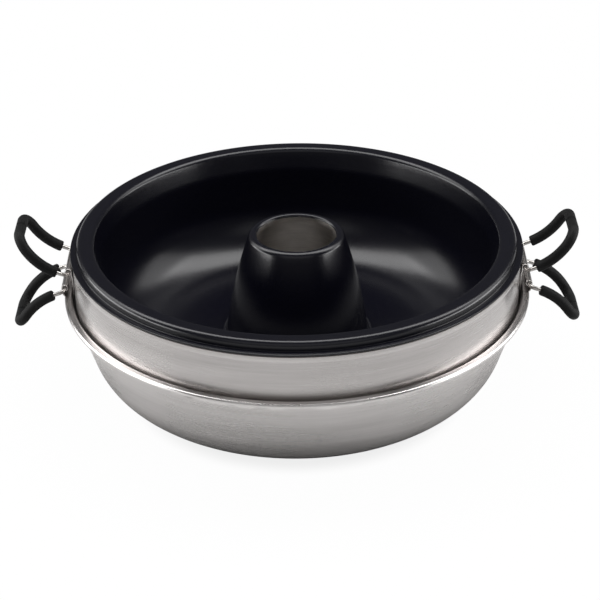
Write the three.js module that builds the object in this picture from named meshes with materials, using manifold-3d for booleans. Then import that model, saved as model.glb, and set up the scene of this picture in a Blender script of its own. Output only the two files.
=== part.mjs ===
// Camping stovetop oven, packed for carrying. A bowl-shaped steel lid lies upside down at the bottom.
// The steel base pan stands in the lid's mouth. A black-coated ring mould with a chimney hangs in the pan.
// The lid and the base pan each have two folding wire handles with silicone grips.
// Millimetres, +Z up. The origin is on the pan's axis, at the level that the lid stands on.

import * as THREE from "three";
import { mergeVertices } from "three/addons/utils/BufferGeometryUtils.js";
import Module from "manifold-3d";

const wasm = await Module();
wasm.setup();

// Round pieces
const ROUND_SEGMENTS = 48;
const CURVE_STEPS = 8;
const FILLET_STEPS = 3;

// Fits
const SEAT_GAP = 0.35;
const RUNNING_GAP = 0.3;
const GRIP_GAP = 0.4;

// Lid, which is the lowest piece: a leaning wall, rounded from its knee to a flat panel, and a flared rim
const LID_SHEET = 0.8;
const LID_WALL_RADIUS = 134.8;
const LID_WALL_LEVEL = 63;
const LID_KNEE_RADIUS = 125.4;
const LID_KNEE_LEVEL = 33.7;
const LID_PANEL_RADIUS = 49;
const LID_FLARE_WIDTH = 5.2;
const LID_FLARE_HEIGHT = 5;
const LID_FLARE_FILLET = 3;

// Base pan: an upright wall with a small flared lip, a rounded bottom and a flame hole with a raised collar
const BASE_SHEET = 0.8;
const BASE_STAND_OUT = 27.3;
const BASE_WALL_TAPER = 0.35;
const BASE_LIP_WIDTH = 0.75;
const BASE_LIP_HEIGHT = 4;
const BASE_KNEE_LEVEL = 42;
const BASE_FLOOR_LEVEL = 16;
const BASE_FLOOR_RADIUS = 70;
const FLAME_HOLE_RADIUS = 27;
const COLLAR_HEIGHT = 9;
const COLLAR_FILLET = 5;

// Ring mould: a flat flange with a turned-down edge and a seat ledge, a deep trough and a chimney
const MOULD_SHEET = 1.2;
const MOULD_STAND_OUT = 6.7;
const MOULD_DEPTH = 68;
const LEDGE_WIDTH = 1.7;
const LEDGE_DROP = 2.2;
const FLANGE_WIDTH = 10.6;
const FLANGE_FILLET = 1.6;
const TROUGH_TAPER = 5;
const TROUGH_FILLET = 34;
const CHIMNEY_FOOT_RADIUS = 41;
const CHIMNEY_FOOT_FILLET = 11;
const CHIMNEY_TOP_RADIUS = 28.4;
const CHIMNEY_MOUTH_RADIUS = 23.6;
const CHIMNEY_BULGE = 1.8;
const CHIMNEY_STEPS = 5;

// Handles: a bent wire that turns in a rolled bracket, with a grip over its loop
const WIRE_RADIUS = 1.2;
const WIRE_SIDES = 6;
const WIRE_STEPS = 48;
const HANDLE_WIDTH = 34;
const HANDLE_LEG_LENGTH = 25.1;
const HANDLE_LEG_BOW = 38;
const BASE_HANDLE_ANGLE = 38;
const LID_HANDLE_ANGLE = -35.5;
const HINGE_BEND_RADIUS = 3.6;
const LOOP_BEND_RADIUS = 9;
const WIRE_END_GAP = 2;
const GRIP_RADIUS = 3.2;
const GRIP_SIDES = 8;
const GRIP_STEPS = 26;
const GRIP_BARE_LENGTH = 3;

// Brackets
const BRACKET_SHEET = 0.8;
const BRACKET_WIDTH = 25;
const KNUCKLE_WALL = 0.5;
const KNUCKLE_SIDES = 12;
const BASE_HINGE_DROP = 11.9;
const BASE_PLATE_HEIGHT = 15;
const LID_HINGE_RISE = 4.5;
const LID_PLATE_HEIGHT = 11;

// Levels and radii that follow from the sizes above
const lidRimLevel = LID_WALL_LEVEL + LID_FLARE_HEIGHT;
const wallLean = (LID_WALL_RADIUS - LID_KNEE_RADIUS) / (LID_WALL_LEVEL - LID_KNEE_LEVEL);
const lidInnerRadius = LID_WALL_RADIUS - LID_SHEET * Math.hypot(1, wallLean);
const lidRimRadius = LID_WALL_RADIUS + LID_FLARE_WIDTH;
const baseRimLevel = lidRimLevel + BASE_STAND_OUT;
const baseFootRadius = lidInnerRadius - SEAT_GAP;
const baseWallRadius = baseFootRadius + BASE_WALL_TAPER;
const baseLipFoot = baseRimLevel - BASE_LIP_HEIGHT;
const mouldTopLevel = baseRimLevel + MOULD_STAND_OUT;
const mouldFloorLevel = mouldTopLevel - MOULD_DEPTH;
const ledgeLevel = baseRimLevel - LEDGE_DROP;
const knuckleBore = WIRE_RADIUS + RUNNING_GAP;
const knuckleRadius = knuckleBore + KNUCKLE_WALL;

// Materials
function material(colour, roughness, metalness) {
  return new THREE.MeshStandardMaterial({ color: colour, roughness, metalness });
}
const brushedSteel = material(0xb9b5b2, 0.34, 1);
const wireSteel = material(0xc4bfba, 0.22, 1);
const blackCoating = material(0x111114, 0.42, 0.1);
const gripSilicone = material(0x1d1e1e, 0.78, 0);

// Flat outlines in radius and height

function point(radius, height) {
  return new THREE.Vector2(radius, height);
}

// A bowl's side, which leans in from the top of its wall to a knee and is rounded from there to its floor.
function bowlCurve(wallRadius, kneeLevel, floorRadius, floorLevel) {
  const onWall = (level) => point(wallRadius - wallLean * (LID_WALL_LEVEL - level), level);
  const floorEdge = point(floorRadius, floorLevel);
  const rounding = new THREE.QuadraticBezierCurve(onWall(kneeLevel), onWall(floorLevel), floorEdge);
  return [onWall(LID_WALL_LEVEL), ...rounding.getPoints(CURVE_STEPS)];
}

// An arc that rounds the corner of the lines from-corner and corner-to.
function fillet(from, corner, to, radius, steps = FILLET_STEPS) {
  const inward = from.clone().sub(corner).normalize();
  const outward = to.clone().sub(corner).normalize();
  const half = Math.acos(THREE.MathUtils.clamp(inward.dot(outward), -1, 1)) / 2;
  const reach = radius / Math.tan(half);
  const middle = inward.clone().add(outward).normalize();
  const centre = corner.clone().addScaledVector(middle, radius / Math.sin(half));
  const start = corner.clone().addScaledVector(inward, reach).sub(centre);
  const end = corner.clone().addScaledVector(outward, reach).sub(centre);
  const turn = Math.atan2(start.cross(end), start.dot(end));
  const points = [];
  for (let i = 0; i <= steps; i++) {
    points.push(start.clone().rotateAround(point(0, 0), (turn * i) / steps).add(centre));
  }
  return points;
}

// The line that runs beside another at a distance to its right-hand side as it is followed.
function besideLine(line, distance) {
  return line.map((here, i) => {
    const before = line[Math.max(0, i - 1)];
    const after = line[Math.min(line.length - 1, i + 1)];
    const along = here.clone().sub(before).normalize();
    along.add(after.clone().sub(here).normalize()).normalize();
    const atEnd = i === 0 || i === line.length - 1;
    const edge = after.clone().sub(here).normalize();
    const stretch = atEnd ? 1 : Math.max(0.5, along.dot(edge));
    return here.clone().add(point(along.y, -along.x).multiplyScalar(distance / stretch));
  });
}

// The closed outline of a bent sheet, whose line is thickened to its right-hand side.
function sheetOutline(line, thickness) {
  return [...line, ...besideLine(line, thickness).reverse()];
}

// Solids and booleans

function toSolid(geometry) {
  const bare = geometry.index ? geometry.toNonIndexed() : geometry.clone();
  bare.deleteAttribute("normal");
  bare.deleteAttribute("uv");
  const merged = mergeVertices(bare, 1e-4);
  return new wasm.Manifold(
    new wasm.Mesh({
      numProp: 3,
      vertProperties: new Float32Array(merged.attributes.position.array),
      triVerts: new Uint32Array(merged.index.array),
    }),
  );
}

function toGeometry(solid) {
  const mesh = solid.getMesh();
  const geometry = new THREE.BufferGeometry();
  geometry.setAttribute("position", new THREE.BufferAttribute(mesh.vertProperties, 3));
  geometry.setIndex(new THREE.BufferAttribute(mesh.triVerts, 1));
  geometry.computeVertexNormals();
  return geometry;
}

// A full turn of a closed outline about the Z axis, with its faces pointing out.
function turned(outline, touchesAxis = false) {
  const ring = touchesAxis ? outline : [...outline, outline[0]];
  const area = THREE.ShapeUtils.area(outline);
  const profile = area > 0 ? ring : [...ring].reverse();
  return new THREE.LatheGeometry(profile, ROUND_SEGMENTS).rotateX(Math.PI / 2);
}

function circleShape(radius, sides, holeRadius = 0) {
  const ring = (r, reversed) => {
    const points = [];
    for (let i = 0; i < sides; i++) {
      const angle = ((reversed ? -i : i) / sides) * 2 * Math.PI;
      points.push(point(r * Math.cos(angle), r * Math.sin(angle)));
    }
    return points;
  };
  const shape = new THREE.Shape(ring(radius, false));
  if (holeRadius > 0) {
    shape.holes.push(new THREE.Path(ring(holeRadius, true)));
  }
  return shape;
}

// Round pieces

// The outside of the lid, from its rim down to its panel.
function lidOutside() {
  const rim = point(lidRimRadius, lidRimLevel);
  const [flareFoot, ...bowl] = bowlCurve(LID_WALL_RADIUS, LID_KNEE_LEVEL, LID_PANEL_RADIUS, 0);
  return [rim, ...fillet(rim, flareFoot, bowl[0], LID_FLARE_FILLET), ...bowl];
}

function lidGeometry() {
  const outside = lidOutside();
  const inside = besideLine(outside, LID_SHEET).reverse();
  return turned([point(0, LID_SHEET), ...inside, ...outside, point(0, 0)], true);
}

function basePanGeometry() {
  const rim = point(baseWallRadius + BASE_LIP_WIDTH, baseRimLevel);
  const lipFoot = point(baseWallRadius, baseLipFoot);
  const bowl = bowlCurve(baseFootRadius, BASE_KNEE_LEVEL, BASE_FLOOR_RADIUS, BASE_FLOOR_LEVEL);
  const floorEdge = point(FLAME_HOLE_RADIUS, BASE_FLOOR_LEVEL);
  const collarTop = point(FLAME_HOLE_RADIUS, BASE_FLOOR_LEVEL + COLLAR_HEIGHT);
  const collar = fillet(bowl.at(-1), floorEdge, collarTop, COLLAR_FILLET);
  const outer = [rim, lipFoot, ...bowl, ...collar, collarTop];
  return turned(sheetOutline(outer, BASE_SHEET));
}

// The chimney's side bulges a little between its foot and its top.
function chimneySide(foot, top) {
  const points = [];
  for (let i = 0; i <= CHIMNEY_STEPS; i++) {
    const share = i / CHIMNEY_STEPS;
    const bulge = CHIMNEY_BULGE * Math.sin(Math.PI * share);
    const side = foot.clone().lerp(top, share);
    points.push(point(side.x + bulge, side.y));
  }
  return points;
}

function mouldGeometry() {
  const lipShare = (ledgeLevel - MOULD_SHEET - baseLipFoot) / BASE_LIP_HEIGHT;
  const lipInside = baseWallRadius + BASE_LIP_WIDTH * lipShare - BASE_SHEET;
  const ledgeEdge = point(lipInside - SEAT_GAP, ledgeLevel);
  const skirtFoot = point(ledgeEdge.x - LEDGE_WIDTH, ledgeLevel);
  const flangeEdge = point(skirtFoot.x, mouldTopLevel);
  const flangeInside = point(skirtFoot.x - FLANGE_WIDTH, mouldTopLevel);
  const wallFoot = point(flangeInside.x - TROUGH_TAPER, mouldFloorLevel);
  const chimneyFoot = point(CHIMNEY_FOOT_RADIUS, mouldFloorLevel);
  const shoulder = point(CHIMNEY_TOP_RADIUS, mouldTopLevel - FLANGE_FILLET);
  const mouth = point(CHIMNEY_MOUTH_RADIUS, mouldTopLevel);
  const side = chimneySide(chimneyFoot, shoulder);
  const food = [
    ledgeEdge,
    skirtFoot,
    ...fillet(skirtFoot, flangeEdge, flangeInside, FLANGE_FILLET, 2),
    ...fillet(flangeEdge, flangeInside, wallFoot, FLANGE_FILLET, 2),
    ...fillet(flangeInside, wallFoot, chimneyFoot, TROUGH_FILLET, CURVE_STEPS),
    ...fillet(wallFoot, chimneyFoot, side[2], CHIMNEY_FOOT_FILLET),
    ...side.slice(2),
    mouth,
  ];
  return turned(sheetOutline(food, -MOULD_SHEET));
}

// Brackets, made for the +X side

// A sheet bent along a line of radius and height, as wide as the bracket.
function bracketPlate(line, thickness) {
  const ring = toSolid(turned(sheetOutline(line, thickness)));
  const depth = 2 * lidRimRadius;
  const slab = new THREE.BoxGeometry(depth, BRACKET_WIDTH, depth).translate(depth / 2, 0, 0);
  return ring.intersect(toSolid(slab));
}

function knuckle(hinge) {
  const shape = circleShape(knuckleRadius, KNUCKLE_SIDES, knuckleBore);
  const tube = new THREE.ExtrudeGeometry(shape, { depth: BRACKET_WIDTH, bevelEnabled: false });
  tube.translate(0, 0, -BRACKET_WIDTH / 2).rotateX(Math.PI / 2);
  return toSolid(tube.translate(hinge.x, 0, hinge.y));
}

// The bore keeps clear of the sheet that is joined to the knuckle.
function boreOf(hinge) {
  const length = 2 * BRACKET_WIDTH;
  const plug = new THREE.CylinderGeometry(knuckleBore, knuckleBore, length, KNUCKLE_SIDES);
  return toSolid(plug.translate(hinge.x, 0, hinge.y));
}

// The base pan's knuckle is rolled outwards from its plate and the lid's is rolled inwards.
const baseHinge = point(
  baseWallRadius + SEAT_GAP + knuckleRadius,
  baseRimLevel - BASE_HINGE_DROP,
);
const lidHinge = point(
  lidRimRadius + SEAT_GAP + BRACKET_SHEET - knuckleRadius,
  lidRimLevel + LID_HINGE_RISE,
);

function baseBracketGeometry() {
  const face = baseWallRadius + SEAT_GAP;
  const lowest = baseHinge.y - BASE_PLATE_HEIGHT;
  const plate = bracketPlate([point(face, lowest), baseHinge.clone().setX(face)], BRACKET_SHEET);
  return toGeometry(plate.add(knuckle(baseHinge)).subtract(boreOf(baseHinge)));
}

// The lid's bracket follows the lid's wall and flare, then stands up past the rim.
function lidBracketGeometry() {
  const lowest = lidRimLevel - LID_PLATE_HEIGHT;
  const held = besideLine(lidOutside(), -SEAT_GAP).filter((at) => at.y > lowest);
  const line = [...held.reverse(), point(lidRimRadius + SEAT_GAP, lidHinge.y)];
  const plate = bracketPlate(line, BRACKET_SHEET);
  return toGeometry(plate.add(knuckle(lidHinge)).subtract(boreOf(lidHinge)));
}

// Handles, made about their hinge with +X outwards

// The wire's line: out of the knuckle, round a bend, along a bowed leg, across and back again.
function handleLine(restAngle) {
  const bow = THREE.MathUtils.degToRad(HANDLE_LEG_BOW);
  const side = Math.sign(restAngle);
  const first = THREE.MathUtils.degToRad(restAngle) - (side * bow) / 2;
  const half = HANDLE_WIDTH / 2;
  const legRadius = HANDLE_LEG_LENGTH / bow;
  const heading = (turn) => new THREE.Vector3(Math.cos(turn), 0, Math.sin(turn));
  const rise = (turn) => new THREE.Vector3(-Math.sin(turn), 0, Math.cos(turn)).multiplyScalar(side);
  const start = heading(first).multiplyScalar(HINGE_BEND_RADIUS);
  const bowCentre = start.clone().addScaledVector(rise(first), legRadius);
  const last = first + side * bow;
  const legEnd = bowCentre.clone().addScaledVector(rise(last), -legRadius);

  const leg = [];
  leg.push(new THREE.Vector3(0, WIRE_END_GAP / 2, 0));
  leg.push(new THREE.Vector3(0, (half - HINGE_BEND_RADIUS) / 2, 0));
  for (let i = 0; i <= FILLET_STEPS; i++) {
    const angle = (i / FILLET_STEPS) * (Math.PI / 2);
    const out = heading(first).multiplyScalar(HINGE_BEND_RADIUS * (1 - Math.cos(angle)));
    out.y = half - HINGE_BEND_RADIUS * (1 - Math.sin(angle));
    leg.push(out);
  }
  for (let i = 1; i < CURVE_STEPS; i++) {
    const turn = first + (side * bow * i) / CURVE_STEPS;
    const at = bowCentre.clone().addScaledVector(rise(turn), -legRadius);
    at.y = half;
    leg.push(at);
  }
  for (let i = 0; i <= FILLET_STEPS; i++) {
    const angle = (i / FILLET_STEPS) * (Math.PI / 2);
    const out = legEnd.clone().addScaledVector(heading(last), LOOP_BEND_RADIUS * Math.sin(angle));
    out.y = half - LOOP_BEND_RADIUS * (1 - Math.cos(angle));
    leg.push(out);
  }
  const back = leg.map((at) => new THREE.Vector3(at.x, -at.y, at.z)).reverse();
  return new THREE.CatmullRomCurve3([...leg, ...back], false, "centripetal");
}

// The stretch of a curve between two lengths along it, as a curve of its own.
function stretchOf(curve, from, to, steps) {
  const whole = curve.getLength();
  const points = [];
  for (let i = 0; i <= steps; i++) {
    points.push(curve.getPointAt((from + ((to - from) * i) / steps) / whole));
  }
  return new THREE.CatmullRomCurve3(points, false, "centripetal");
}

function wireGeometry(line) {
  const shape = circleShape(WIRE_RADIUS, WIRE_SIDES);
  return new THREE.ExtrudeGeometry(shape, { steps: WIRE_STEPS, extrudePath: line });
}

function gripGeometry(line) {
  const bare = HANDLE_WIDTH / 2 + GRIP_BARE_LENGTH;
  const covered = stretchOf(line, bare, line.getLength() - bare, GRIP_STEPS);
  const shape = circleShape(GRIP_RADIUS, GRIP_SIDES, WIRE_RADIUS + GRIP_GAP);
  return new THREE.ExtrudeGeometry(shape, { steps: GRIP_STEPS, extrudePath: covered });
}

// Assembly

const oven = new THREE.Group();

function addPiece(parent, name, geometry, finish) {
  const mesh = new THREE.Mesh(geometry, finish);
  mesh.name = name;
  parent.add(mesh);
}

// A bracket, wire and grip on each of two opposite sides of a pan.
function addHandles(pan, bracket, hinge, restAngle) {
  const line = handleLine(restAngle);
  ["right", "left"].forEach((name, i) => {
    const turn = new THREE.Group();
    turn.rotation.z = i * Math.PI;
    oven.add(turn);
    addPiece(turn, `${pan}_bracket_${name}`, bracket, brushedSteel);
    const handle = new THREE.Group();
    handle.position.set(hinge.x, 0, hinge.y);
    turn.add(handle);
    addPiece(handle, `${pan}_handle_wire_${name}`, wireGeometry(line), wireSteel);
    addPiece(handle, `${pan}_handle_grip_${name}`, gripGeometry(line), gripSilicone);
  });
}

addPiece(oven, "lid_bowl", lidGeometry(), brushedSteel);
addPiece(oven, "base_pan", basePanGeometry(), brushedSteel);
addPiece(oven, "ring_mould", mouldGeometry(), blackCoating);
addHandles("lid", lidBracketGeometry(), lidHinge, LID_HANDLE_ANGLE);
addHandles("base", baseBracketGeometry(), baseHinge, BASE_HANDLE_ANGLE);

export default oven;
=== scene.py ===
import bpy
from math import acos, cos, pi, radians, sin, sqrt, tan
from mathutils import Matrix, Vector


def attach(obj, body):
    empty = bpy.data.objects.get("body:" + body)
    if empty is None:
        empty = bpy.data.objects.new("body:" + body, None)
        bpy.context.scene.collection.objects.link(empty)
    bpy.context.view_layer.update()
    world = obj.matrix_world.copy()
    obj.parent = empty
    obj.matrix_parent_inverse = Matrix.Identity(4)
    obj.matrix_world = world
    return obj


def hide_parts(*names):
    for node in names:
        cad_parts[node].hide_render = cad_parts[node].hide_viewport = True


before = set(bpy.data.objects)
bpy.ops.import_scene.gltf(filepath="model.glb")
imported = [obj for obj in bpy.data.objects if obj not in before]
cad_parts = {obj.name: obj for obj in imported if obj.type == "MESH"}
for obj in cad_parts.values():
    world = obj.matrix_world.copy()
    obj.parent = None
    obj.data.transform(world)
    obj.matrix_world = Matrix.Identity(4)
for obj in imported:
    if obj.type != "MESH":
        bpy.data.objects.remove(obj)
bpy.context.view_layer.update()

mm = 0.001
fullTurn = 2 * pi
quarterTurn = pi / 2


# Selecting and finishing

def clearSelection():
    if bpy.context.object and bpy.context.object.mode != "OBJECT":
        bpy.ops.object.mode_set(mode="OBJECT")
    bpy.ops.object.select_all(action="DESELECT")


def pick(piece):
    clearSelection()
    piece.select_set(True)
    bpy.context.view_layer.objects.active = piece


def editAll(piece):
    pick(piece)
    bpy.ops.object.mode_set(mode="EDIT")
    bpy.ops.mesh.select_all(action="SELECT")


def tidyFaces(piece):
    editAll(piece)
    bpy.ops.mesh.remove_doubles(threshold=1e-6)
    bpy.ops.mesh.normals_make_consistent(inside=False)
    bpy.ops.object.mode_set(mode="OBJECT")


def applyModifier(piece, kind, **settings):
    pick(piece)
    bpy.ops.object.modifier_add(type=kind)
    modifier = piece.modifiers[-1]
    for name, value in settings.items():
        setattr(modifier, name, value)
    bpy.ops.object.modifier_apply(modifier=modifier.name)


def thicken(piece, sheet, underSlot=0):
    applyModifier(piece, "SOLIDIFY", thickness=sheet * mm, offset=0, use_even_offset=True,
                  material_offset=underSlot)


def roundEdges(piece, width, sharpest=50):
    applyModifier(piece, "BEVEL", width=width * mm, segments=2, limit_method="ANGLE",
                  angle_limit=radians(sharpest))


def smoothShade(piece, sharpest=38):
    pick(piece)
    bpy.ops.object.shade_smooth_by_angle(angle=radians(sharpest))


def namePiece(piece, name):
    piece.name = name
    piece.data.name = name


def dress(piece, *finishes):
    for finish in finishes:
        piece.data.materials.append(finish)


def placePiece(piece, body, node):
    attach(piece, body)
    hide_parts(node)


def halfTurnCopy(piece, name):
    # the same piece on the other side of the axis, with its own mesh
    pick(piece)
    bpy.ops.object.duplicate(linked=False)
    copy = bpy.context.object
    bpy.ops.transform.rotate(value=pi, orient_axis="Z", center_override=(0, 0, 0))
    bpy.ops.object.transform_apply(location=True, rotation=True, scale=True)
    namePiece(copy, name)
    return copy


# Outlines in radius and height, in millimetres

def roundedLine(corners, steps=8):
    # each corner is (radius, height) or (radius, height, rounding)
    places = [Vector(corner[:2]) for corner in corners]
    line = [places[0]]
    for i in range(1, len(corners) - 1):
        rounding = corners[i][2] if len(corners[i]) > 2 else 0
        if not rounding:
            line.append(places[i])
            continue
        back = (places[i - 1] - places[i]).normalized()
        ahead = (places[i + 1] - places[i]).normalized()
        half = acos(max(-1, min(1, back.dot(ahead)))) / 2
        centre = places[i] + (back + ahead).normalized() * rounding / sin(half)
        start = places[i] + back * rounding / tan(half) - centre
        end = places[i] + ahead * rounding / tan(half) - centre
        sweep = start.angle_signed(end)
        for step in range(steps + 1):
            line.append(centre + Matrix.Rotation(-sweep * step / steps, 2) @ start)
    line.append(places[-1])
    return line


def bowlSide(sizes, steps=28):
    # a wall that leans in to its knee and is rounded from there to the level floor
    def onWall(height):
        return Vector((sizes["wallRadius"] - sizes["lean"] * (sizes["wallHeight"] - height), height))

    knee = onWall(sizes["kneeHeight"])
    corner = onWall(sizes["floorHeight"])
    floorEdge = Vector((sizes["floorRadius"], sizes["floorHeight"]))
    line = [onWall(sizes["wallHeight"])]
    for step in range(steps + 1):
        share = step / steps
        line.append(knee * (1 - share) ** 2 + corner * 2 * share * (1 - share) + floorEdge * share ** 2)
    return line


def splitLong(line, longest=3.0):
    # short steps keep the shading of a straight wall apart from the roundings beside it
    fine = [line[0]]
    for before, after in zip(line, line[1:]):
        count = max(1, round((after - before).length / longest))
        fine += [before.lerp(after, step / count) for step in range(1, count + 1)]
    return fine


def drawLine(name, line):
    # a plane is merged to one point, which is pulled along the outline
    clearSelection()
    bpy.ops.mesh.primitive_plane_add(size=mm)
    piece = bpy.context.object
    namePiece(piece, name)
    editAll(piece)
    bpy.ops.mesh.merge(type="CENTER")
    bpy.ops.transform.translate(value=(line[0].x * mm, 0, line[0].y * mm))
    for before, after in zip(line, line[1:]):
        step = (after - before) * mm
        bpy.ops.mesh.extrude_region_move(TRANSFORM_OT_translate={"value": (step.x, 0, step.y)})
    return piece


def turnLine(name, line, sheet, upperFinish, underFinish, steps=192, edgeShare=0.2):
    # the outline is spun about the pan's axis and given the sheet's thickness
    piece = drawLine(name, splitLong(line))
    dress(piece, upperFinish, underFinish)
    bpy.ops.mesh.select_all(action="SELECT")
    bpy.ops.mesh.spin(steps=steps, angle=fullTurn, center=(0, 0, 0), axis=(0, 0, 1))
    tidyFaces(piece)
    floor = max(piece.data.polygons, key=lambda face: abs(face.normal.z) * face.center.xy.length)
    if floor.normal.z < 0:
        editAll(piece)
        bpy.ops.mesh.flip_normals()
        bpy.ops.object.mode_set(mode="OBJECT")
    thicken(piece, sheet, underSlot=1)
    roundEdges(piece, sheet * edgeShare)
    smoothShade(piece)
    return piece


# Node tools

def addNode(tree, kind, place, **inputs):
    node = tree.nodes.new(kind)
    node.location = place
    for name, value in inputs.items():
        node.inputs[name].default_value = value
    return node


def feed(tree, value, socket):
    # a number is typed in, an output is linked
    if isinstance(value, (int, float)):
        socket.default_value = value
    else:
        tree.links.new(value, socket)


def mathNode(tree, operation, place, first, second):
    node = addNode(tree, "ShaderNodeMath", place)
    node.operation = operation
    feed(tree, first, node.inputs[0])
    feed(tree, second, node.inputs[1])
    return node.outputs[0]


def vectorNode(tree, operation, place, vector):
    node = addNode(tree, "ShaderNodeVectorMath", place)
    node.operation = operation
    tree.links.new(vector, node.inputs[0])
    return node.outputs


def splitAxes(tree, place, vector):
    node = addNode(tree, "ShaderNodeSeparateXYZ", place)
    tree.links.new(vector, node.inputs[0])
    return node.outputs


def joinAxes(tree, place, *values):
    node = addNode(tree, "ShaderNodeCombineXYZ", place)
    for value, socket in zip(values, node.inputs):
        tree.links.new(value, socket)
    return node.outputs[0]


def noiseNode(tree, place, vector, scale, **inputs):
    node = addNode(tree, "ShaderNodeTexNoise", place, **inputs)
    tree.links.new(vector, node.inputs["Vector"])
    feed(tree, scale, node.inputs["Scale"])
    return node.outputs["Fac"]


def rangeNode(tree, place, value, low, high, start=0.0, end=1.0, smooth=False):
    node = addNode(tree, "ShaderNodeMapRange", place)
    node.interpolation_type = "SMOOTHSTEP" if smooth else "LINEAR"
    limits = {"From Min": start, "From Max": end, "To Min": low, "To Max": high}
    for name, limit in limits.items():
        node.inputs[name].default_value = limit
    tree.links.new(value, node.inputs["Value"])
    return node.outputs["Result"]


def twoTone(tree, place, value, look):
    ramp = addNode(tree, "ShaderNodeValToRGB", place)
    for stop, tone in zip(ramp.color_ramp.elements, ("dark", "light")):
        stop.position = look[tone + "From"]
        stop.color = (*look[tone], 1)
    tree.links.new(value, ramp.inputs["Fac"])
    return ramp.outputs["Color"]


def bumpNode(tree, place, height, look):
    node = addNode(tree, "ShaderNodeBump", place, Strength=look["bump"], Distance=look["bumpDepth"])
    tree.links.new(height, node.inputs["Height"])
    return node.outputs["Normal"]


def newGroup(name, inputs, outputs):
    tree = bpy.data.node_groups.new(name, "ShaderNodeTree")
    for socketName, default in inputs.items():
        socket = tree.interface.new_socket(socketName, in_out="INPUT", socket_type="NodeSocketFloat")
        socket.default_value = default
    for socketName in outputs:
        tree.interface.new_socket(socketName, in_out="OUTPUT", socket_type="NodeSocketFloat")
    return tree, addNode(tree, "NodeGroupInput", (-900, 0)), addNode(tree, "NodeGroupOutput", (700, 0))


def placeGroup(tree, group, place, **values):
    node = tree.nodes.new("ShaderNodeGroup")
    node.node_tree = group
    node.location = place
    for name, value in values.items():
        node.inputs[name].default_value = value
    return node.outputs


def newMaterial(name, constants):
    material = bpy.data.materials.new(name)
    material.use_nodes = True
    shader = material.node_tree.nodes["Principled BSDF"]
    for socketName, value in constants.items():
        shader.inputs[socketName].default_value = value
    return material, material.node_tree, shader


# Shared effects

def brushGroup(bandShare=0.12):
    # fine lines that run round the axis, as a lathe-held pad leaves them, and broader bands of them
    tree, asked, given = newGroup("brushRound", {"Fineness": 900.0, "Streak": 2.5}, ["Lines", "Bands"])
    place = addNode(tree, "ShaderNodeTexCoord", (-900, 200)).outputs["Object"]
    parts = splitAxes(tree, (-720, 200), place)
    flat = joinAxes(tree, (-540, 320), parts["X"], parts["Y"])
    reach = vectorNode(tree, "LENGTH", (-360, 200), flat)["Value"]
    turn = splitAxes(tree, (-180, 380), vectorNode(tree, "NORMALIZE", (-360, 380), flat)["Vector"])
    along = mathNode(tree, "ADD", (-180, 100), reach, parts["Z"])
    fine = mathNode(tree, "MULTIPLY", (0, 100), along, asked.outputs["Fineness"])
    wide = mathNode(tree, "MULTIPLY", (180, -40), fine, bandShare)
    streakX = mathNode(tree, "MULTIPLY", (0, 420), turn["X"], asked.outputs["Streak"])
    streakY = mathNode(tree, "MULTIPLY", (0, 260), turn["Y"], asked.outputs["Streak"])
    linePlace = joinAxes(tree, (180, 260), streakX, streakY, fine)
    bandPlace = joinAxes(tree, (360, -40), streakX, streakY, wide)
    lines = noiseNode(tree, (360, 260), linePlace, 1.0, Detail=4.0, Roughness=0.65)
    bands = noiseNode(tree, (520, -40), bandPlace, 1.0, Detail=2.0)
    tree.links.new(lines, given.inputs["Lines"])
    tree.links.new(bands, given.inputs["Bands"])
    return tree


def smudgeGroup():
    # broad soft patches where hands and cloths have been
    tree, asked, given = newGroup("handSmudges", {"Size": 18.0}, ["Smudge"])
    place = addNode(tree, "ShaderNodeTexCoord", (-600, 0)).outputs["Object"]
    patches = noiseNode(tree, (-300, 0), place, asked.outputs["Size"], Detail=3.0, Roughness=0.55,
                        Distortion=0.4)
    tree.links.new(patches, given.inputs["Smudge"])
    return tree


def speckleGroup():
    # small grains, of a sprayed coating or a moulded rubber
    tree, asked, given = newGroup("fineGrain", {"Grain": 1500.0, "Peel": 260.0}, ["Grain", "Peel"])
    place = addNode(tree, "ShaderNodeTexCoord", (-600, 0)).outputs["Object"]
    grain = noiseNode(tree, (-300, 120), place, asked.outputs["Grain"], Detail=2.0, Roughness=0.6)
    peel = noiseNode(tree, (-300, -140), place, asked.outputs["Peel"], Detail=1.0)
    tree.links.new(grain, given.inputs["Grain"])
    tree.links.new(peel, given.inputs["Peel"])
    return tree


brushRound = brushGroup()
handSmudges = smudgeGroup()
fineGrain = speckleGroup()


# Finishes

steelLooks = {
    "panSteel": {"dark": (0.53, 0.506, 0.495), "light": (0.63, 0.604, 0.593), "roughness": (0.22, 0.3),
                 "fineness": 1500.0, "anisotropy": 0.55, "metallic": 1.0},
    "lidSteel": {"dark": (0.7, 0.674, 0.662), "light": (0.82, 0.792, 0.78), "roughness": (0.24, 0.32),
                 "fineness": 1300.0, "anisotropy": 0.55, "metallic": 1.0},
    "bareSteel": {"dark": (0.45, 0.422, 0.395), "light": (0.64, 0.605, 0.572), "roughness": (0.45, 0.62),
                  "fineness": 1900.0, "anisotropy": 0.9, "metallic": 0.9},
    "tabSteel": {"dark": (0.58, 0.555, 0.54), "light": (0.76, 0.735, 0.72), "roughness": (0.2, 0.36),
                 "fineness": 1500.0, "anisotropy": 0.3, "metallic": 1.0},
}
allSteel = {
    "darkFrom": 0.32, "lightFrom": 0.68, "smudge": 0.04, "bump": 0.035, "bumpDepth": 0.0002,
    "brushTurn": 0.25,
}


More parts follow.
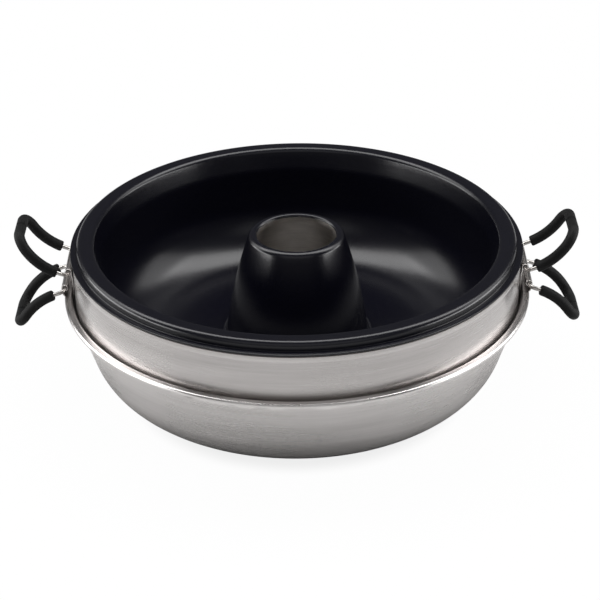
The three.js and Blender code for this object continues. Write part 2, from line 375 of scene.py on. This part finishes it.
def brushedSteel(name, look):
    material, tree, shader = newMaterial(name, {
        "Metallic": look["metallic"], "Anisotropic": look["anisotropy"],
        "Anisotropic Rotation": look["brushTurn"],
    })
    brush = placeGroup(tree, brushRound, (-900, 100), Fineness=look["fineness"])
    smudge = placeGroup(tree, handSmudges, (-900, -200))
    shade = mathNode(tree, "ADD", (-680, 100), brush["Lines"], brush["Bands"])
    mean = mathNode(tree, "MULTIPLY", (-560, 100), shade, 0.5)
    tree.links.new(twoTone(tree, (-420, 200), mean, look), shader.inputs["Base Color"])
    lineRough = rangeNode(tree, (-420, -60), brush["Lines"], *look["roughness"])
    smudgeRough = rangeNode(tree, (-420, -300), smudge["Smudge"], -look["smudge"], look["smudge"])
    rough = mathNode(tree, "ADD", (-220, -120), lineRough, smudgeRough)
    tree.links.new(rough, shader.inputs["Roughness"])
    tree.links.new(bumpNode(tree, (-220, -360), brush["Lines"], look), shader.inputs["Normal"])
    tangent = addNode(tree, "ShaderNodeTangent", (-220, -560))
    tangent.direction_type = "RADIAL"
    tangent.axis = "Z"
    tree.links.new(tangent.outputs[0], shader.inputs["Tangent"])
    return material


coatingLook = {
    "dark": (0.001, 0.001, 0.003), "light": (0.003, 0.003, 0.007), "darkFrom": 0.3, "lightFrom": 0.74,
    "specular": 0.45, "roughness": (0.2, 0.28), "smudge": 0.03, "bump": 0.06, "bumpDepth": 0.0003,
}


def nonStickCoating(look):
    material, tree, shader = newMaterial("nonStickCoating", {
        "Metallic": 0.0, "Specular IOR Level": look["specular"],
    })
    grain = placeGroup(tree, fineGrain, (-900, 0), Grain=1700.0, Peel=240.0)
    rings = placeGroup(tree, brushRound, (-900, -520), Fineness=420.0, Streak=0.6)
    smudge = placeGroup(tree, handSmudges, (-900, -260), Size=9.0)
    tree.links.new(twoTone(tree, (-520, 200), grain["Grain"], look), shader.inputs["Base Color"])
    grainRough = rangeNode(tree, (-520, -60), grain["Grain"], *look["roughness"])
    smudgeRough = rangeNode(tree, (-520, -300), smudge["Smudge"], -look["smudge"], look["smudge"])
    rough = mathNode(tree, "ADD", (-260, -120), grainRough, smudgeRough)
    tree.links.new(rough, shader.inputs["Roughness"])
    height = mathNode(tree, "ADD", (-520, -520), grain["Grain"], grain["Peel"])
    height = mathNode(tree, "ADD", (-400, -620), height, rings["Lines"])
    tree.links.new(bumpNode(tree, (-260, -400), height, look), shader.inputs["Normal"])
    return material


siliconeLook = {
    "dark": (0.003, 0.0031, 0.0031), "light": (0.0065, 0.0067, 0.0067), "darkFrom": 0.12,
    "lightFrom": 0.42, "specular": 0.16, "roughness": (0.55, 0.7), "bump": 0.12, "bumpDepth": 0.0003,
}


def gripSilicone(look):
    material, tree, shader = newMaterial("gripSilicone", {
        "Metallic": 0.0, "Specular IOR Level": look["specular"],
    })
    grain = placeGroup(tree, fineGrain, (-900, 0), Grain=2600.0, Peel=420.0)
    smudge = placeGroup(tree, handSmudges, (-900, -260), Size=60.0)
    mixed = mathNode(tree, "MULTIPLY", (-700, 120), grain["Grain"], smudge["Smudge"])
    tree.links.new(twoTone(tree, (-520, 200), mixed, look), shader.inputs["Base Color"])
    rough = rangeNode(tree, (-520, -60), grain["Peel"], *look["roughness"])
    tree.links.new(rough, shader.inputs["Roughness"])
    tree.links.new(bumpNode(tree, (-260, -300), grain["Grain"], look), shader.inputs["Normal"])
    return material


wireLook = {
    "dark": (0.42, 0.4, 0.38), "light": (0.58, 0.56, 0.54), "darkFrom": 0.3, "lightFrom": 0.7,
    "roughness": (0.14, 0.3),
}


def drawnWire(look):
    material, tree, shader = newMaterial("drawnWire", {"Metallic": 1.0})
    grain = placeGroup(tree, fineGrain, (-900, 0), Grain=1800.0, Peel=500.0)
    tree.links.new(twoTone(tree, (-520, 200), grain["Peel"], look), shader.inputs["Base Color"])
    rough = rangeNode(tree, (-520, -60), grain["Grain"], *look["roughness"])
    tree.links.new(rough, shader.inputs["Roughness"])
    return material


steels = {name: brushedSteel(name, {**allSteel, **look}) for name, look in steelLooks.items()}
blackCoating = nonStickCoating(coatingLook)
blackSilicone = gripSilicone(siliconeLook)
wireSteel = drawnWire(wireLook)
print("finishes made")


# Lid: the bowl that lies upside down at the bottom, with a turned-out rim
lidSizes = {
    "sheet": 0.8, "rimRadius": 139.6, "rimHeight": 67.7, "lipDrop": 1.8, "lipRounding": 1.0,
    "lipWidth": 3.7, "lipFootRounding": 1.0, "flareRounding": 2.4, "wallRadius": 134.4,
    "wallHeight": 63.0, "lean": 0.321, "kneeHeight": 33.9, "floorRadius": 49.0, "floorHeight": 0.4,
}


def makeLid(sizes):
    side = bowlSide(sizes)
    rim = sizes["rimRadius"]
    top = sizes["rimHeight"]
    flare = roundedLine([
        (rim, top - sizes["lipDrop"]),
        (rim, top, sizes["lipRounding"]),
        (rim - sizes["lipWidth"], top, sizes["lipFootRounding"]),
        (*side[0], sizes["flareRounding"]),
        tuple(side[1]),
    ])
    middle = Vector((0, sizes["floorHeight"]))
    line = flare[:-1] + side[1:] + [middle]
    return turnLine("lidBowl", line, sizes["sheet"], steels["lidSteel"], steels["lidSteel"])


lidBowl = makeLid(lidSizes)
placePiece(lidBowl, "lid", "lid_bowl")
print("lid made")


# Base pan: the upright steel band, its rounded bottom and the flame hole's collar
baseSizes = {
    "sheet": 0.8, "rimRadius": 134.3, "rimHeight": 94.9, "lipFoot": 91.3, "lipRounding": 6.0,
    "bandRadius": 133.56, "wallRadius": 133.2, "wallHeight": 63.0, "lean": 0.321, "kneeHeight": 42.2,
    "floorRadius": 70.0, "floorHeight": 16.4, "holeRadius": 27.4, "collarHeight": 25.0,
    "collarRounding": 5.0,
}


def makeBase(sizes):
    side = bowlSide(sizes)
    lip = roundedLine([
        (sizes["rimRadius"], sizes["rimHeight"]),
        (sizes["bandRadius"], sizes["lipFoot"], sizes["lipRounding"]),
        tuple(side[0]),
    ])
    collar = roundedLine([
        tuple(side[-1]),
        (sizes["holeRadius"], sizes["floorHeight"], sizes["collarRounding"]),
        (sizes["holeRadius"], sizes["collarHeight"]),
    ])
    line = lip[:-1] + side + collar[1:]
    return turnLine("basePan", line, sizes["sheet"], steels["panSteel"], steels["panSteel"])


basePan = makeBase(baseSizes)
placePiece(basePan, "base", "base_pan")
print("base pan made")


# Ring mould: ledge, skirt, flange, trough and chimney, coated on the food side
mouldSizes = {
    "sheet": 1.2, "ledgeRadius": 135.0, "ledgeHeight": 96.0, "ledgeRounding": 0.9, "skirtRadius": 130.6,
    "skirtRounding": 2.4, "topHeight": 101.4, "troughRadius": 121.3, "flangeRounding": 2.6,
    "flareRadius": 118.3, "flareDrop": 13.0, "flareRounding": 20.0, "footRadius": 116.2,
    "floorHeight": 33.4, "troughRounding": 34.6, "chimneyFoot": 43.0, "chimneyRounding": 5.0,
    "chimneyTop": 27.8, "chimneyBulge": 1.9, "chimneyTopRounding": 3.0, "mouthRadius": 24.2,
    "mouthDrop": 1.1, "mouthSlope": 0.6, "mouthRounding": 0.9,
}


def chimneySide(sizes, steps=12, firstStep=3):
    # the foot's rounding takes the place of the lowest steps
    line = []
    rise = sizes["topHeight"] - sizes["floorHeight"]
    for step in range(firstStep, steps):
        share = step / steps
        bulge = sizes["chimneyBulge"] * sin(pi * share)
        radius = sizes["chimneyFoot"] + (sizes["chimneyTop"] - sizes["chimneyFoot"]) * share
        line.append((radius + bulge, sizes["floorHeight"] + rise * share))
    return line


def makeMould(sizes):
    top = sizes["topHeight"]
    line = roundedLine([
        (sizes["ledgeRadius"], sizes["ledgeHeight"]),
        (sizes["skirtRadius"], sizes["ledgeHeight"], sizes["ledgeRounding"]),
        (sizes["skirtRadius"], top, sizes["skirtRounding"]),
        (sizes["troughRadius"], top, sizes["flangeRounding"]),
        (sizes["flareRadius"], top - sizes["flareDrop"], sizes["flareRounding"]),
        (sizes["footRadius"], sizes["floorHeight"], sizes["troughRounding"]),
        (sizes["chimneyFoot"], sizes["floorHeight"], sizes["chimneyRounding"]),
        *chimneySide(sizes),
        (sizes["chimneyTop"], top, sizes["chimneyTopRounding"]),
        (sizes["mouthRadius"] + sizes["mouthSlope"], top, sizes["mouthRounding"]),
        (sizes["mouthRadius"], top - sizes["mouthDrop"]),
    ], steps=10)
    return turnLine("ringMould", line, sizes["sheet"], blackCoating, steels["bareSteel"])


ringMould = makeMould(mouldSizes)
placePiece(ringMould, "mould", "ring_mould")
print("ring mould made")


# Handles: a bent wire with a grip over its loop, modelled as half and mirrored
handleSizes = {
    "wireRadius": 1.2, "wireSides": 20, "gripRadius": 3.2, "gripSides": 28, "boreGap": 0.25,
    "boreDepth": 2.7, "width": 34.0, "legLength": 25.1, "legBow": radians(38), "hingeBend": 3.6,
    "loopBend": 9.0, "endGap": 2.0, "bareLeg": 3.0, "endRounding": 0.9, "endSteps": 4,
    "hingeSteps": 12, "bowSteps": 14, "loopSteps": 14,
}
hinges = {
    "lid": {"radius": 139.15, "height": 72.5, "side": -1, "restAngle": radians(35.5)},
    "base": {"radius": 136.31, "height": 83.4, "side": 1, "restAngle": radians(38)},
}


def startRing(name, place, heading, radius, sides):
    clearSelection()
    turn = heading.to_track_quat("Z", "Y").to_euler()
    bpy.ops.mesh.primitive_circle_add(vertices=sides, radius=radius * mm, location=place * mm,
                                      rotation=turn)
    piece = bpy.context.object
    bpy.ops.object.transform_apply(location=True, rotation=True, scale=True)
    namePiece(piece, name)
    editAll(piece)
    return piece


def pullRing(move):
    bpy.ops.mesh.extrude_region_move(TRANSFORM_OT_translate={"value": move * mm})


def bendRing(centre, axis, angle, steps):
    # without a window spin turns the other way
    bpy.ops.mesh.spin(steps=steps, angle=-angle, center=centre * mm, axis=axis)


def handlePath(hinge, sizes):
    # places and headings along the wire, on the +Y half
    side = hinge["side"]
    first = side * (hinge["restAngle"] - sizes["legBow"] / 2)
    last = first + side * sizes["legBow"]

    def heading(angle):
        return Vector((cos(angle), 0, sin(angle)))

    def rise(angle):
        return Vector((-sin(angle), 0, cos(angle))) * side

    half = sizes["width"] / 2
    pivot = Vector((hinge["radius"], 0, hinge["height"]))
    bowRadius = sizes["legLength"] / sizes["legBow"]
    legStart = pivot + heading(first) * sizes["hingeBend"] + Vector((0, half, 0))
    return {
        "pivot": pivot, "half": half, "side": side, "first": first, "last": last,
        "heading": heading, "rise": rise, "across": Vector((0, -side, 0)),
        "bowRadius": bowRadius, "bowCentre": legStart + rise(first) * bowRadius,
        "hingeTurn": Vector((sin(first), 0, -cos(first))),
        "loopTurn": Vector((sin(last), 0, -cos(last))),
    }


def closeHandle(piece):
    bpy.ops.object.mode_set(mode="OBJECT")
    applyModifier(piece, "MIRROR", use_axis=(False, True, False), use_bisect_axis=(False, False, False),
                  merge_threshold=1e-5)
    tidyFaces(piece)
    smoothShade(piece, sharpest=50)
    return piece


def finishLoop(path, sizes):
    # the bend at the outer corner and half of the crossbar
    legEnd = path["bowCentre"] - path["rise"](path["last"]) * path["bowRadius"]
    centre = legEnd - Vector((0, sizes["loopBend"], 0))
    bendRing(centre, path["loopTurn"], quarterTurn, sizes["loopSteps"])
    pullRing(Vector((0, sizes["loopBend"] - path["half"], 0)))


def makeWire(name, hinge, sizes):
    path = handlePath(hinge, sizes)
    start = path["pivot"] + Vector((0, sizes["endGap"] / 2, 0))
    piece = startRing(name, start, Vector((0, 1, 0)), sizes["wireRadius"], sizes["wireSides"])
    bpy.ops.mesh.edge_face_add()
    pullRing(Vector((0, path["half"] - sizes["hingeBend"] - sizes["endGap"] / 2, 0)))
    corner = path["pivot"] + Vector((0, path["half"] - sizes["hingeBend"], 0))
    centre = corner + path["heading"](path["first"]) * sizes["hingeBend"]
    bendRing(centre, path["hingeTurn"], quarterTurn, sizes["hingeSteps"])
    bendRing(path["bowCentre"], path["across"], sizes["legBow"], sizes["bowSteps"])
    finishLoop(path, sizes)
    bpy.ops.mesh.delete(type="ONLY_FACE")  # the mirrored half carries on from here
    return closeHandle(piece)


def makeGrip(name, hinge, sizes):
    path = handlePath(hinge, sizes)
    bare = sizes["bareLeg"] / path["bowRadius"] * path["side"]
    start = path["bowCentre"] - path["rise"](path["first"] + bare) * path["bowRadius"]
    out = path["heading"](path["first"] + bare)
    bore = sizes["wireRadius"] + sizes["boreGap"]
    rounding = sizes["endRounding"]
    piece = startRing(name, start + out * sizes["boreDepth"], out, bore, sizes["gripSides"])
    pullRing(-out * sizes["boreDepth"])
    angles = [quarterTurn * step / sizes["endSteps"] for step in range(sizes["endSteps"] + 1)]
    widths = [bore] + [sizes["gripRadius"] - rounding * (1 - sin(angle)) for angle in angles]
    lifts = [0] + [rounding * (cos(low) - cos(high)) for low, high in zip(angles, angles[1:])]
    for before, after, lift in zip(widths, widths[1:], lifts):
        pullRing(out * lift)
        bpy.ops.transform.resize(value=(after / before,) * 3)
    bendRing(path["bowCentre"], path["across"], sizes["legBow"] - abs(bare), sizes["bowSteps"])
    finishLoop(path, sizes)
    return closeHandle(piece)


for pan, hinge in hinges.items():
    wireRight = makeWire(pan + "HandleWireRight", hinge, handleSizes)
    gripRight = makeGrip(pan + "HandleGripRight", hinge, handleSizes)
    dress(wireRight, wireSteel)
    dress(gripRight, blackSilicone)
    wireLeft = halfTurnCopy(wireRight, pan + "HandleWireLeft")
    gripLeft = halfTurnCopy(gripRight, pan + "HandleGripLeft")
    for side, wire, grip in (("right", wireRight, gripRight), ("left", wireLeft, gripLeft)):
        body = pan + "_handle_" + side
        placePiece(wire, body, pan + "_handle_wire_" + side)
        placePiece(grip, body, pan + "_handle_grip_" + side)
print("handles made")


# Brackets: sheet that hugs the pan and is rolled round the wire
bracketSizes = {
    "sheet": 0.6, "width": 25.0, "columns": 12, "boreRadius": 1.4, "rollSteps": 24, "hugFade": 4.0,
    "edgeRounding": 0.18,
    "base": {"plateRadius": 134.35, "lowest": 68.4, "bend": 79.0, "bendRise": 2.0, "rounding": 2.0,
             "rollStart": pi, "rollEnd": radians(-150)},
    "lid": {"plateRadius": 135.4, "lowest": 61.0, "flareFoot": 62.9, "flareTop": 68.0, "rounding": 1.5,
            "rollStart": 0, "rollEnd": radians(330)},
}


def rollLine(hinge, sizes, own):
    radius = sizes["boreRadius"] + sizes["sheet"] / 2
    centre = Vector((hinge["radius"], hinge["height"]))
    line = []
    for step in range(sizes["rollSteps"] + 1):
        angle = own["rollStart"] + (own["rollEnd"] - own["rollStart"]) * step / sizes["rollSteps"]
        line.append(centre + Vector((cos(angle), sin(angle))) * radius)
    return line


def makeBracket(name, pan, sizes, plate, hugTop):
    own = sizes[pan]
    roll = rollLine(hinges[pan], sizes, own)
    piece = drawLine(name, roundedLine(plate + [tuple(roll[0])])[:-1] + roll)
    bpy.ops.mesh.select_all(action="SELECT")
    bpy.ops.transform.translate(value=(0, -sizes["width"] / 2 * mm, 0))
    for column in range(sizes["columns"]):
        bpy.ops.mesh.extrude_region_move(
            TRANSFORM_OT_translate={"value": (0, sizes["width"] / sizes["columns"] * mm, 0)})
    tidyFaces(piece)
    for vertex in piece.data.vertices:
        # below the roll the sheet follows the round wall
        share = max(0, min(1, (hugTop * mm - vertex.co.z) / (sizes["hugFade"] * mm)))
        hugRadius = own["plateRadius"] * mm
        vertex.co.x -= (hugRadius - sqrt(hugRadius ** 2 - vertex.co.y ** 2)) * share
    thicken(piece, sizes["sheet"])
    roundEdges(piece, sizes["edgeRounding"])
    smoothShade(piece)
    return piece


def makeBaseBracket(name, sizes):
    own = sizes["base"]
    rollSide = hinges["base"]["radius"] - sizes["boreRadius"] - sizes["sheet"] / 2
    bendTop = own["bend"] + own["bendRise"]
    plate = [
        (own["plateRadius"], own["lowest"]),
        (own["plateRadius"], own["bend"], own["rounding"]),
        (rollSide, bendTop, own["rounding"]),
    ]
    return makeBracket(name, "base", sizes, plate, bendTop)


def makeLidBracket(name, sizes):
    own = sizes["lid"]
    rollSide = hinges["lid"]["radius"] + sizes["boreRadius"] + sizes["sheet"] / 2
    plate = [
        (own["plateRadius"], own["lowest"]),
        (own["plateRadius"], own["flareFoot"], own["rounding"]),
        (rollSide, own["flareTop"], own["rounding"]),
    ]
    return makeBracket(name, "lid", sizes, plate, own["flareTop"] + sizes["hugFade"])


for pan, maker in (("base", makeBaseBracket), ("lid", makeLidBracket)):
    tabRight = maker(pan + "BracketRight", bracketSizes)
    dress(tabRight, steels["tabSteel"])
    tabLeft = halfTurnCopy(tabRight, pan + "BracketLeft")
    placePiece(tabRight, pan, pan + "_bracket_right")
    placePiece(tabLeft, pan, pan + "_bracket_left")
print("brackets made")


# Floor, world, lamps and camera
studio = {
    # painted shade: the floor's colour is dark (0.07) up to 0.09 m from the pan's axis and light (0.75)
    # from 0.2 m out
    "floorSize": 12.0, "dark": (0.07,) * 3, "darkFrom": 0.09, "light": (0.75,) * 3, "lightFrom": 0.2,
    "shadowReach": 0.21, "fadeReach": 0.18, "shadowVeil": 0.985, "contactVeil": 0.84,
    "contactReach": 0.092, "contactFade": 0.017, "roomLight": 0.1, "mirrorLight": 0.62,
    "background": 1.0,
}


def makeFloor(values):
    clearSelection()
    bpy.ops.mesh.primitive_plane_add(size=values["floorSize"])
    floor = bpy.context.object
    namePiece(floor, "studioFloor")
    material, tree, shader = newMaterial("paleFloor", {"Roughness": 0.9, "Specular IOR Level": 0.0})
    place = addNode(tree, "ShaderNodeTexCoord", (-900, 0)).outputs["Object"]
    reach = vectorNode(tree, "LENGTH", (-700, 0), place)["Value"]
    # painted shade: the floor is coloured darker near the pan, and the pan's steel shows it as a painted
    # dark reflection
    tree.links.new(twoTone(tree, (-300, -200), reach, values), shader.inputs["Base Color"])
    path = addNode(tree, "ShaderNodeLightPath", (-900, 400)).outputs
    seen = path["Is Camera Ray"]
    shown = mathNode(tree, "MAXIMUM", (-700, 400), seen, path["Is Glossy Ray"])
    shown = mathNode(tree, "MAXIMUM", (-520, 400), shown, path["Is Transmission Ray"])
    fade = rangeNode(tree, (-500, 0), reach, 0.0, 1.0, values["shadowReach"] - values["fadeReach"] / 2,
                     values["shadowReach"] + values["fadeReach"] / 2, smooth=True)
    veil = rangeNode(tree, (-500, 600), reach, values["contactVeil"], values["shadowVeil"],
                     values["contactReach"], values["contactReach"] + values["contactFade"], smooth=True)
    # the camera sees white beyond the shadow, and a veil of it over the shadow, which is the lamps'
    # shadow on the floor's painted shade; reflections see the painted shade near the pan and white
    # beyond
    cover = mathNode(tree, "MULTIPLY", (-300, 200), fade, shown)
    veil = mathNode(tree, "MULTIPLY", (-300, 600), seen, veil)
    cover = mathNode(tree, "MAXIMUM", (-120, 400), cover, veil)
    white = addNode(tree, "ShaderNodeEmission", (-100, 300))
    glow = rangeNode(tree, (-300, 400), seen, values["mirrorLight"], values["background"])
    tree.links.new(glow, white.inputs["Strength"])
    mix = addNode(tree, "ShaderNodeMixShader", (200, 100))
    tree.links.new(cover, mix.inputs[0])
    tree.links.new(shader.outputs[0], mix.inputs[1])
    tree.links.new(white.outputs[0], mix.inputs[2])
    tree.links.new(mix.outputs[0], tree.nodes["Material Output"].inputs["Surface"])
    dress(floor, material)


def makeWorld(values):
    world = bpy.data.worlds.new("studioRoom")
    bpy.context.scene.world = world
    world.use_nodes = True
    tree = world.node_tree
    seen = addNode(tree, "ShaderNodeLightPath", (-800, 200)).outputs["Is Camera Ray"]
    strength = rangeNode(tree, (-220, 200), seen, values["roomLight"], values["background"])
    tree.nodes["Background"].inputs["Color"].default_value = (1, 1, 1, 1)
    tree.links.new(strength, tree.nodes["Background"].inputs["Strength"])


def addSoftbox(name, place, aim, size, watts, lightsMatt=True, showsInMetal=True):
    clearSelection()
    bpy.ops.object.light_add(type="AREA", location=place)
    lamp = bpy.context.object
    lamp.name = name
    lamp.data.shape = "RECTANGLE"
    lamp.data.size, lamp.data.size_y = size
    lamp.data.energy = watts
    lamp.visible_diffuse = lightsMatt  # a card shows in the metal alone
    lamp.visible_glossy = showsInMetal
    lamp.rotation_euler = (Vector(place) - Vector(aim)).to_track_quat("Z", "Y").to_euler()


softboxes = {
    "leftSoftbox": {"place": (-1.3, 0.5, 0.95), "aim": (0, 0, 0.06), "size": (1.0, 1.0), "watts": 7},
    "rightSoftbox": {"place": (1.3, 0.5, 0.95), "aim": (0, 0, 0.06), "size": (1.0, 1.0), "watts": 6},
    "topSoftbox": {"place": (0, 0.42, 1.6), "aim": (0, 0.42, 0), "size": (3.0, 0.85), "watts": 40},
    "frontSoftbox": {"place": (0, -1.1, 1.5), "aim": (0, 0, 0.06), "size": (0.8, 0.5), "watts": 15,
                     "showsInMetal": False},
    "frontCard": {"place": (0, -1.9, 1.3), "aim": (0, 0, 0.06), "size": (3.0, 1.6), "watts": 6,
                  "lightsMatt": False},
    "leftCard": {"place": (-1.45, -0.05, 0.22), "aim": (0, 0, 0.06), "size": (1.7, 0.4), "watts": 15,
                 "lightsMatt": False},
    "rightCard": {"place": (1.45, -0.05, 0.22), "aim": (0, 0, 0.06), "size": (1.4, 0.4), "watts": 12,
                  "lightsMatt": False},
}

cameraSet = {
    "target": (0, 0, 61.9), "distance": 1192, "elevation": radians(28.73), "roll": radians(-0.62),
    "lens": 117.8, "sensor": 36, "shift": (0.005, -0.0143),
}


def makeCamera(values):
    clearSelection()
    tilt = values["elevation"]
    away = Vector((0, -cos(tilt), sin(tilt))) * values["distance"]
    bpy.ops.object.camera_add(location=(Vector(values["target"]) + away) * mm)
    camera = bpy.context.object
    turn = Matrix.Rotation(quarterTurn - tilt, 3, "X") @ Matrix.Rotation(values["roll"], 3, "Z")
    camera.rotation_euler = turn.to_euler()
    camera.data.lens = values["lens"]
    camera.data.sensor_width = values["sensor"]
    camera.data.shift_x, camera.data.shift_y = values["shift"]
    bpy.context.scene.camera = camera


makeFloor(studio)
makeWorld(studio)
for name, values in softboxes.items():
    addSoftbox(name, **values)
makeCamera(cameraSet)
bpy.context.scene.view_settings.view_transform = "Standard"
print("stage made")
